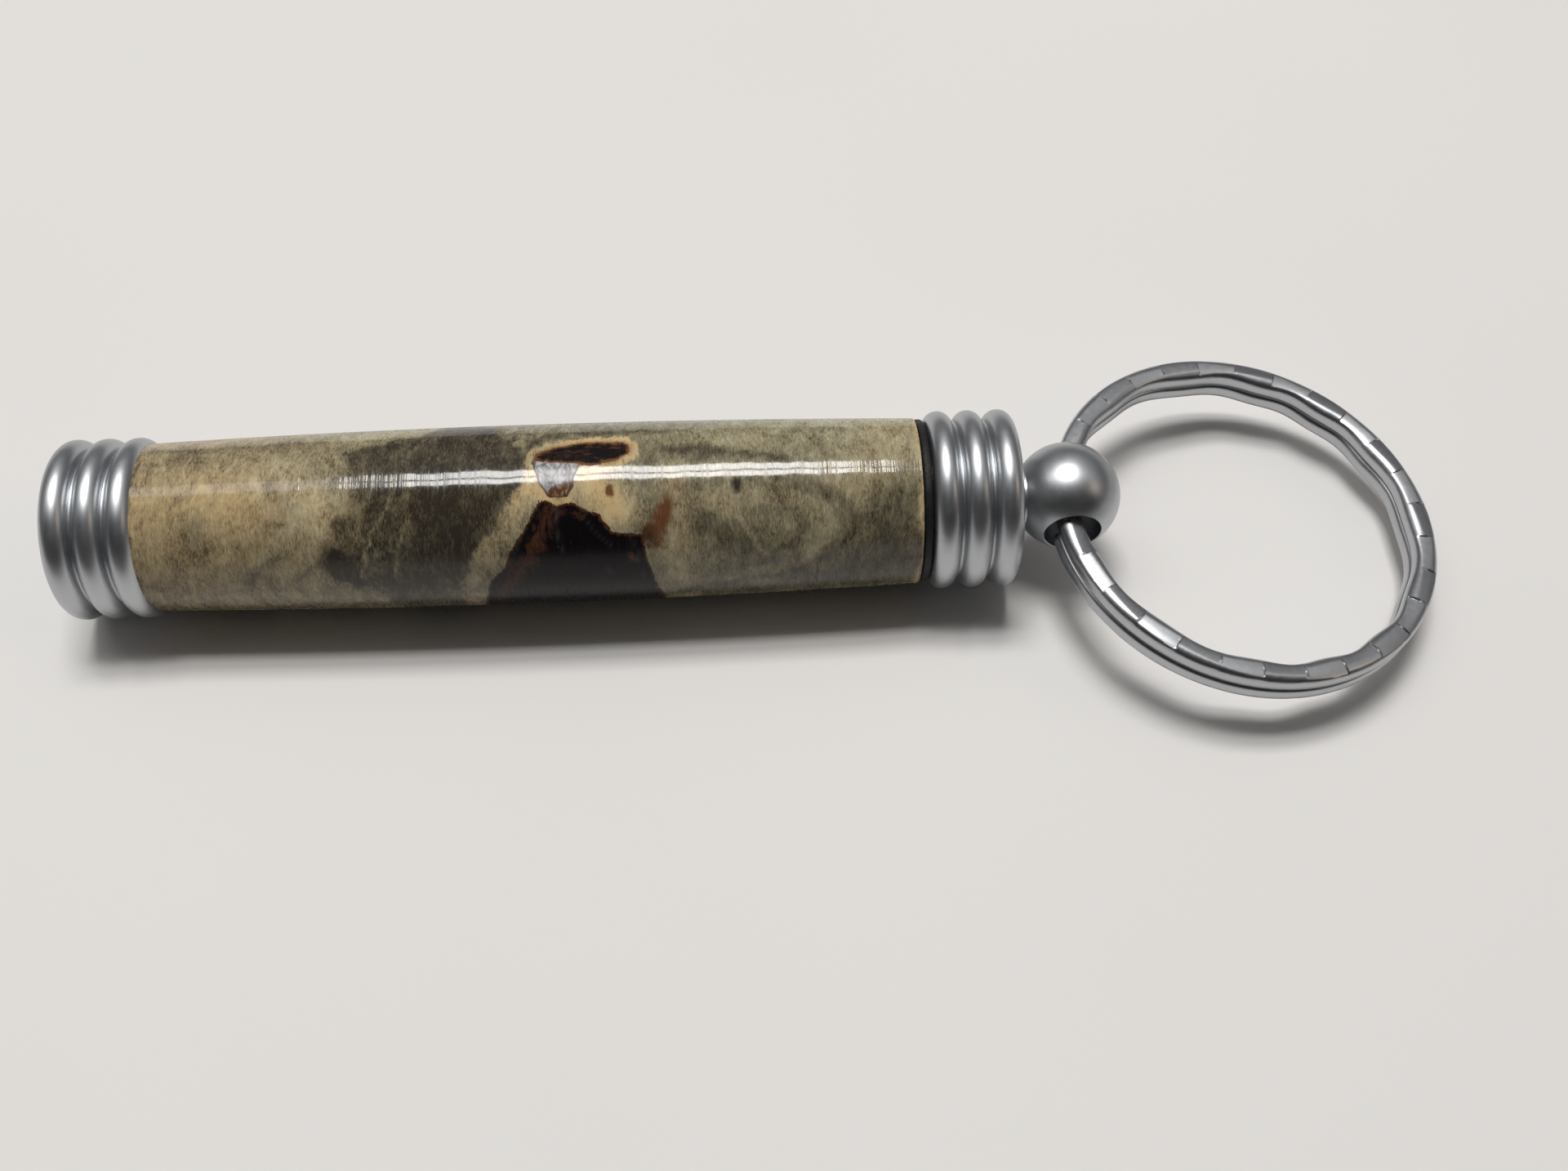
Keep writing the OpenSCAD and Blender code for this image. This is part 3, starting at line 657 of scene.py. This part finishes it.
def satinChrome(place):
    # satin plating with a fine pearly grain, brighter at the bottom of the grooves
    y, z = place.part(1), place.part(2)
    radius = (y * y + z * z).math("SQRT") / mm
    grain = place.scaled(16, 16, 16).noise(2, 0.6)
    smears = place.scaled(0.8, 0.5, 0.5).noise(3, 0.6)
    polish = radius.step(*caps["polished"])
    return {"Base Color": (smears * 0.6 + grain * 0.4 + 0.5).mixed(caps["dark"], caps["pale"]),
            "Metallic": 1.0,
            "Roughness": caps["roughness"] + smears * 0.14 + grain * 0.1 - polish * 0.16,
            "Normal": grain.bump(caps["bump"] * mm)}


chrome = finish("satin_chrome", satinChrome)


def addCap(name, profile, body, node):
    # one cap, turned from its profile
    addPiece(name, turned(profile, caps["around"]), rowFaces(len(profile), caps["around"]), body,
             chrome, node)


def makeCaps():
    # both caps are turned profiles: the flat end, the sloping margin, the beads and the hidden plug
    # or bores. The fixed cap's last bead ends where it meets the wood
    c = caps
    wood, start, end = barrel["woodStart"], barrel["capStart"], barrel["faceEnd"]
    lastBead = c["beadRadius"] + (c["beads"] - 1) * c["beadPitch"]
    atWood = math.degrees(math.asin((wood - lastBead) / c["beadRadius"]))
    margin = eased([[0.0, c["flatRadius"] - c["flatMargin"]], [0.0, c["flatRadius"]],
                    [c["faceRise"], c["rimRadius"]]], c["easing"], 6)
    plugEnd = wood + c["plugLength"]
    inner = [[wood, c["plugRadius"]], [plugEnd - c["leadIn"], c["plugRadius"]],
             [plugEnd, c["plugRadius"] - c["leadIn"]]]
    addCap("end_cap_turned", np.concatenate([margin, beads(0.0, -c["endAngle"], atWood), inner]),
           "barrel", "end_cap")
    back = [[start + c["boreDepth"], c["boreRadius"]], [start, c["boreRadius"]],
            [start, c["backRadius"]]]
    front = eased([[end - c["faceRise"], c["rimRadius"]], [end, c["flatRadius"]],
                   [end, c["tenonBore"]]], c["easing"], 6)
    bore = [[end - barrel["tenonDepth"], c["tenonBore"]]]
    addCap("screw_cap_turned",
           np.concatenate([back, beads(start, -c["endAngle"], c["endAngle"]), front, bore]),
           "cap", "screw_cap")


makeCaps()
print("beaded caps done")


ball = {"radius": 4.298, "hole": 2.248, "lip": 0.06, "lipDrop": 0.02, "around": 176,
        "sphereSteps": 64, "lipSteps": 7, "boreSteps": 12,
        "neck": 2.4, "neckEnd": 3.2, "tenon": 1.6, "neckAround": 96}


def makeBall():
    # the ball is turned round the cross hole's axis: sphere, rounded lip, straight bore and lip
    # again, closed on itself. The neck and the tenon are turned round the barrel's axis
    b = ball
    edge = 90 - math.degrees(math.asin((b["hole"] + b["lip"]) / b["radius"]))
    sphere = arc(0, 0, b["radius"], -edge, edge, b["sphereSteps"])
    t = np.radians(np.linspace(0, 90, b["lipSteps"] + 1))[1:]
    lip = np.stack([sphere[-1, 0] - b["lipDrop"] - b["lip"] * (1 - np.cos(t)),
                    b["hole"] + b["lip"] * (1 - np.sin(t))], 1)
    depth = np.linspace(lip[-1, 0], -lip[-1, 0], b["boreSteps"] + 2)[1:-1]
    bore = np.stack([depth, np.full(len(depth), b["hole"])], 1)
    profile = np.concatenate([sphere, lip, bore, lip[::-1] * (-1, 1)])
    shell = (barrel["ballX"], 0, 0) - turned(profile, b["around"])[..., [1, 0, 2]]
    face = barrel["faceEnd"]
    stem = eased([[face - barrel["tenonDepth"], b["tenon"]], [face, b["tenon"]], [face, b["neck"]],
                  [barrel["ballX"] - b["neckEnd"], b["neck"]]], 0.03, 3)
    neck = turned(stem, b["neckAround"])
    faces = rowFaces(len(profile), b["around"], True)
    faces += rowFaces(len(stem), b["neckAround"], first=len(profile) * b["around"])
    addPiece("ball_stud_turned", np.concatenate([shell.reshape(-1, 3), neck.reshape(-1, 3)]), faces,
             "cap", chrome, "ball_stud")


makeBall()
print("ball done")


# the black seal, squeezed between the wood and the cap
seal = {"start": 66.87, "thickness": 0.78, "outer": 6.52, "width": 0.9, "around": 160, "steps": 28,
        "squareness": 0.8, "squeeze": 0.03,
        "waves": [(0.02, 5, 1), (0.012, 13, 0), (0.008, 29, 2)],  # amount, count round it, phase
        "black": (0.007, 0.007, 0.008), "dusty": (0.09, 0.085, 0.08)}


def blackRubber(place):
    # matt rubber with nicks and dust
    pits = place.scaled(6, 4, 4).noise(3, 0.7)
    dust = place.scaled(9, 7, 7).noise(2, 0.6).step(0.12, 0.24)
    return {"Base Color": (dust * 0.3).mixed(seal["black"], seal["dusty"]),
            "Roughness": 0.55 + pits * 0.3, "Specular IOR Level": 0.35,
            "Normal": pits.bump(0.05 * mm)}


def makeSeal():
    # a rounded section turned round the barrel: half sizes times the sine and the cosine, each
    # raised to a power below 1. Sine waves make its outer side uneven
    half, wide = seal["thickness"] / 2, seal["width"] / 2
    section, angle = fullTurn(seal["steps"]), fullTurn(seal["around"])
    up, out = (np.sign(wave) * np.abs(wave) ** seal["squareness"]
               for wave in (np.sin(section), np.cos(section)))
    uneven = sum(amount * np.sin(count * angle + phase) for amount, count, phase in seal["waves"])
    outside = np.cos(section)[:, None] > 0.2  # the wood and the cap hold the rest of it even
    radius = (seal["outer"] - wide + wide * out)[:, None] + (uneven - seal["squeeze"]) * outside
    rings = roundBarrel((seal["start"] + half + half * up)[:, None], radius, angle)
    addPiece("seal_ring_rubber", rings, rowFaces(seal["steps"], seal["around"], True, flip=True),
             "seal", finish("black_rubber", blackRubber), "seal_ring", 60.0)


makeSeal()
print("seal done")


# brass: the tube and the threaded collar keep their meshes, the threaded plug is made here
plug = {"start": 60.84, "end": 66.5, "step": 0.04, "underShoulder": 66.9, "around": 96,
        "pitch": 1.0, "root": 3.7, "crest": 4.2, "crestWidth": 0.12, "rootWidth": 0.697,
        "ridgeStart": 61.34, "ridgeTurns": 4, "fadeTurns": 0.5, "tip": 0.2,
        "shoulderStart": 66.94, "shoulder": 5.6, "shank": 70.68, "easing": 0.06,
        "dark": (0.62, 0.41, 0.16), "pale": (0.83, 0.62, 0.3)}


def turnedBrass(place):
    # brass with fine marks of the turning tool round the barrel's axis
    marks = place.scaled(9, 0.25, 0.25).noise(3, 0.6)
    stain = place.scaled(0.5, 0.5, 0.5).noise(3, 0.6)
    return {"Base Color": (stain * 0.7 + marks * 0.3 + 0.5).mixed(plug["dark"], plug["pale"]),
            "Metallic": 1.0, "Roughness": 0.22 + marks * 0.2, "Normal": marks.bump(0.004 * mm)}


brass = finish("brass", turnedBrass)


def makePlug():
    # radius over place and angle: a helical ridge whose flanks rise straight from the root to the
    # crest and which fades at both ends, then a shoulder for the seal and a plain shank
    p = plug
    root = p["root"]
    x = np.unique(np.concatenate([np.arange(p["start"], p["end"], p["step"]),
                                  [p["underShoulder"], p["shoulderStart"]]]))[:, None]
    angle = fullTurn(p["around"])
    turns = (x - p["ridgeStart"]) / p["pitch"] - angle / (2 * np.pi)
    nearest = np.round(turns)
    off = np.abs(turns - nearest) * p["pitch"]
    travel = nearest + angle / (2 * np.pi)
    fade = np.clip(np.minimum(travel, p["ridgeTurns"] - travel) / p["fadeTurns"], 0, 1)
    flank = np.clip((p["rootWidth"] / 2 - off) / ((p["rootWidth"] - p["crestWidth"]) / 2), 0, 1)
    radius = root + (p["crest"] - root) * np.minimum(flank, fade)
    radius[0] = root - p["tip"]
    tail = eased([[p["shoulderStart"], root], [p["shoulderStart"], p["shoulder"]],
                  [barrel["capStart"], p["shoulder"]], [barrel["capStart"], root],
                  [p["shank"], root]], p["easing"], 3)[1:]
    rings = np.concatenate([roundBarrel(x, radius, angle), turned(tail, p["around"])])
    addPiece("threaded_plug_turned", rings, rowFaces(len(rings), p["around"]), "cap",
             brass, "threaded_plug", 30.0)


makePlug()
for node in ("brass_tube", "threaded_collar"):
    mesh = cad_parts[node].data
    mesh.materials.clear()
    mesh.materials.append(brass)
print("brass done")


keyRing = {
    "radius": 14.95, "halfWidth": 0.98, "halfThick": 0.79, "layer": 0.8, "around": 64,
    "start": 13.5, "end": 706.5, "cross": 24.0,  # degrees along the coil: its ends and its crossing
    "drop": 7.3, "yaw": -7.0, "low": 0.05, "back": 0.3,  # how it lies in the ball
    "topPower": 2.35, "morePower": 1.5,  # squareness of the crown, and what the inner side adds
    "flats": 54, "rowsPerFlat": 24, "plane": 0.7, "sink": 0.085, "tilt": 8.5, "tiltSpread": 4.0,
    "bulge": 0.28, "soften": 0.02, "outside": 0.985, "outsideSink": 0.05, "outsideLean": 20,
    "cutFrom": 0.2,  # cosine of the widest angle at which a flat still cuts
    "wave": 0.13, "waves": 14, "thickWave": 0.03, "clear": (15, 30),
    # the last colour is painted shade for the small step where each flat ends
    "dark": (0.42, 0.43, 0.45), "pale": (0.56, 0.57, 0.59), "stepShadeTone": (0.06, 0.06, 0.065),
}


def turnMatrix(axis, degrees):
    # rotation about one axis, as an array
    return np.array(Matrix.Rotation(math.radians(degrees), 3, axis))


def hammeredSteel(place):
    # bright plated steel with fine scuffs; where one flat ends in a small step it is rougher, and
    # painted shade darkens it
    grain = place.scaled(2.2, 2.2, 2.2).noise(3, 0.6)
    fine = place.scaled(14, 14, 14).noise(2, 0.6)
    scuffs = place.scaled(9, 9, 1.5).noise(2, 0.6, 0.8)
    crease = place.attribute("crease")
    tone = (grain * 0.6 + fine * 0.4 + 0.5).mixed(keyRing["dark"], keyRing["pale"])
    return {"Base Color": (crease * 0.8).mixed(tone, keyRing["stepShadeTone"]), "Metallic": 1.0,
            "Roughness": 0.32 + grain * 0.12 + scuffs * 0.08 + crease * 0.2,
            "Normal": (grain * 1.5 + fine * 0.2).bump(0.0015 * mm)}


def makeRing():
    # a rounded section |cos / w|^power + |sin / t|^power = 1 carried along two turns of a flat
    # coil, which changes layers once. Each hammered flat cuts the crown with a plane that sinks
    # along the flat, so that it ends in a small step, and leans to one side and the other by turns;
    # the lesser of the two is softened by (a + b - sqrt((a - b)^2 + c^2)) / 2. The inner side
    # swells and shrinks along the wire, and each flat makes the outside a little straighter
    k = keyRing
    edges = np.linspace(k["start"], k["end"], k["flats"] + 1)
    # rows within a flat, closest together at its step
    run = np.concatenate([[0.0, 0.02, 0.045], np.linspace(0.09, 0.975, k["rowsPerFlat"] - 3)])
    u = (edges[:-1, None] + np.diff(edges)[:, None] * run).ravel()
    number = np.repeat(np.arange(k["flats"]), k["rowsPerFlat"])
    part = np.tile(run, k["flats"])
    layer = k["layer"] * (2 * smooth((u - 360) / k["cross"] + 0.5, 0, 1) - 1)
    side = np.where(layer > 0, 1.0, -1.0)[:, None]
    seed = np.random.default_rng(11)
    spread = seed.uniform(-k["tiltSpread"], k["tiltSpread"], k["flats"])[number]
    roll = np.radians(np.where(number % 2 == 0, 1.0, -1.0) * k["tilt"] + spread)[:, None]
    deep = seed.uniform(0.75, 1.25, k["flats"])[number]
    phi = fullTurn(k["around"])
    up = np.sin(phi) * side
    power = k["topPower"] + k["morePower"] * smooth(-up, -0.1, 0.8)
    # the wave fades out where the wire lies in the ball
    clear = smooth(np.abs((u + 180) % 360 - 180), *k["clear"])
    wave = np.sin(np.radians(u * k["waves"]) + 0.9 * np.sin(np.radians(u * 3))) * clear
    inward = smooth(-np.cos(phi), -0.2, 0.9)
    w = k["halfWidth"] * (1 + k["wave"] * wave[:, None] * inward)
    t = k["halfThick"] * (1 + k["thickWave"] * wave[:, None] * smooth(up, 0, 1))
    rho = (np.abs(np.cos(phi) / w) ** power + np.abs(np.sin(phi) / t) ** power) ** (-1 / power)
    crown = np.cos(phi - side * np.pi / 2 - roll)
    plane = k["plane"] + (k["sink"] * deep * (0.5 - part))[:, None]
    cutAt = plane / np.maximum(crown, k["cutFrom"])
    cutAt = cutAt + k["bulge"] * np.maximum(rho - cutAt, 0)
    flat = (rho + cutAt - np.sqrt((rho - cutAt) ** 2 + k["soften"] ** 2)) / 2
    rho = np.where(crown > k["cutFrom"], flat, rho)
    outer = np.cos(phi - side * math.radians(k["outsideLean"]))
    facing = k["outside"] + (k["outsideSink"] * (0.5 - part) * clear)[:, None]
    straight = np.minimum(rho, facing / np.maximum(outer, k["cutFrom"]))
    rho = np.where(outer > k["cutFrom"], straight, rho)
    angle = np.radians(u)[:, None]
    radius = k["radius"] + rho * np.cos(phi)
    points = np.stack([radius * np.cos(angle), radius * np.sin(angle),
                       layer[:, None] + rho * np.sin(phi)], -1)
    turn = turnMatrix("Y", k["drop"]) @ turnMatrix("Z", k["yaw"])
    local = points @ turnMatrix("Z", 180).T + (k["radius"] - k["back"], 0, -k["low"])
    piece = addPiece("split_ring_hammered", local @ turn.T + (barrel["ballX"], 0, 0),
                     rowFaces(len(u), k["around"]), "ring",
                     finish("hammered_steel", hammeredSteel), "split_ring", 24.0)
    # painted shade: a dark line across the crown where each flat ends in its step
    ends = np.exp(-(np.minimum(part, 1 - part) / 0.03) ** 2)[:, None]
    addValues(piece, "crease", ends * smooth(crown, 0.86, 0.95))


makeRing()
print("key ring done")


# lengths of the floor and the lamps are in metres, the camera's places in millimetres
stage = {
    "floorHeight": -7.12, "floorSize": 1.2, "floorMiddle": 0.05, "floorRoughness": 0.75,
    "floorTones": ((0.77, 0.757, 0.742), (0.8, 0.787, 0.772)),
    "cameraAt": (51.5, -75.697, 106.559), "lookAt": (56.27, -3.388, -6.63), "roll": 1.0618,
    "lens": 37.42,
    # lamps seen from the barrel: direction, distance, size, radiance
    "lamps": {"strip_near": ((-0.04, 0.155, 0.988), 1.2, (0.465, 0.138), 23.0),
              "strip_far": ((-0.04, 0.318, 0.949), 1.2, (0.465, 0.18), 21.0),
              "strip_left": ((-0.555, 0.28, 1.15), 1.307, (0.5, 0.3), 2.2)},
    "lampColour": (1.0, 0.99, 0.97), "lampCentre": (0.045, 0, 0),
    "walls": (0.11, 0.11, 0.115), "ceiling": (0.66, 0.655, 0.64),
    "viewer": (0.012, 0.012, 0.014), "window": (1.3, 1.1, 0.9), "windowWay": (0.78, -0.17, 0.6),
}


def paleTable(place):
    # plain pale table
    tone = (place.scaled(0.02, 0.02, 0.02).noise(2, 0.5) + 0.5).mixed(*stage["floorTones"])
    return {"Base Color": tone, "Roughness": stage["floorRoughness"]}


def makeFloor():
    # one square under the barrel
    mesh = bpy.data.meshes.new("floor")
    corners = np.array([[-1, -1, 0], [1, -1, 0], [1, 1, 0], [-1, 1, 0]]) * stage["floorSize"] / 2
    middle = (stage["floorMiddle"], 0, stage["floorHeight"] * mm)
    mesh.from_pydata(corners + middle, [], [(0, 1, 2, 3)])
    mesh.materials.append(finish("pale_table", paleTable))
    floor = bpy.data.objects.new("floor", mesh)
    bpy.context.scene.collection.objects.link(floor)


def setUp(name, data, place, side, back):
    # an object for a lamp or a camera that looks along -back, with side to its right
    made = bpy.data.objects.new(name, data)
    made.matrix_world = Matrix.Translation(place) @ Matrix(
        (side, back.cross(side), back)).transposed().to_4x4()
    bpy.context.scene.collection.objects.link(made)
    return made


def addLamp(name, towards, distance, size, radiance):
    # a flat lamp that faces the barrel from the direction towards; its watts are the radiance times
    # its area and pi
    lamp = bpy.data.lights.new(name, "AREA")
    lamp.shape = "RECTANGLE"
    lamp.size, lamp.size_y = size
    lamp.energy = radiance * math.pi * size[0] * size[1]
    lamp.color = stage["lampColour"]
    back = Vector(towards).normalized()
    side = Vector((1, 0, 0))
    side = (side - back * side.dot(back)).normalized()
    setUp(name, lamp, Vector(stage["lampCentre"]) + back * distance, side, back)


def room(way):
    # a ceiling paler overhead than on its far side, darker walls, the dark shape of the viewer and
    # a small warm window
    x, y, z = (way.part(axis) for axis in range(3))
    reach = (x * x * 0.35 + y * y + z * z).math("SQRT")
    viewer = ((y * -0.855 + z * 0.513) / reach).step(0.5, 0.8) * 0.97
    overhead = z.step(0.3, 1.0) * (1.0 - y.step(0.25, 0.62) * 0.5)
    window = way.node("ShaderNodeVectorMath", {"operation": "DOT_PRODUCT"},
                      {0: way, 1: stage["windowWay"]}, 1).step(0.975, 0.995)
    walls = viewer.mixed(overhead.mixed(stage["walls"], stage["ceiling"]), stage["viewer"])
    return {"Color": window.mixed(walls, stage["window"])}


def makeCamera():
    # the photograph's view: a look-at frame turned by the small roll
    place, target = Vector(stage["cameraAt"]) * mm, Vector(stage["lookAt"]) * mm
    ahead = (target - place).normalized()
    right = ahead.cross(Vector((0, 0, 1))).normalized()
    roll = math.radians(stage["roll"])
    right = right * math.cos(roll) + right.cross(ahead) * math.sin(roll)
    data = bpy.data.cameras.new("camera")
    data.sensor_width, data.sensor_fit, data.lens = 36.0, "HORIZONTAL", stage["lens"]
    data.clip_start, data.clip_end = 0.004, 20.0
    bpy.context.scene.camera = setUp("camera", data, place, right, -ahead)


makeFloor()
for name, values in stage["lamps"].items():
    addLamp(name, *values)
bpy.context.scene.world = shaded(bpy.data.worlds.new("room"), "ShaderNodeBackground",
                                 "ShaderNodeOutputWorld", "Generated", room)
makeCamera()
bpy.context.scene.view_settings.view_transform = "Standard"
print("stage done")
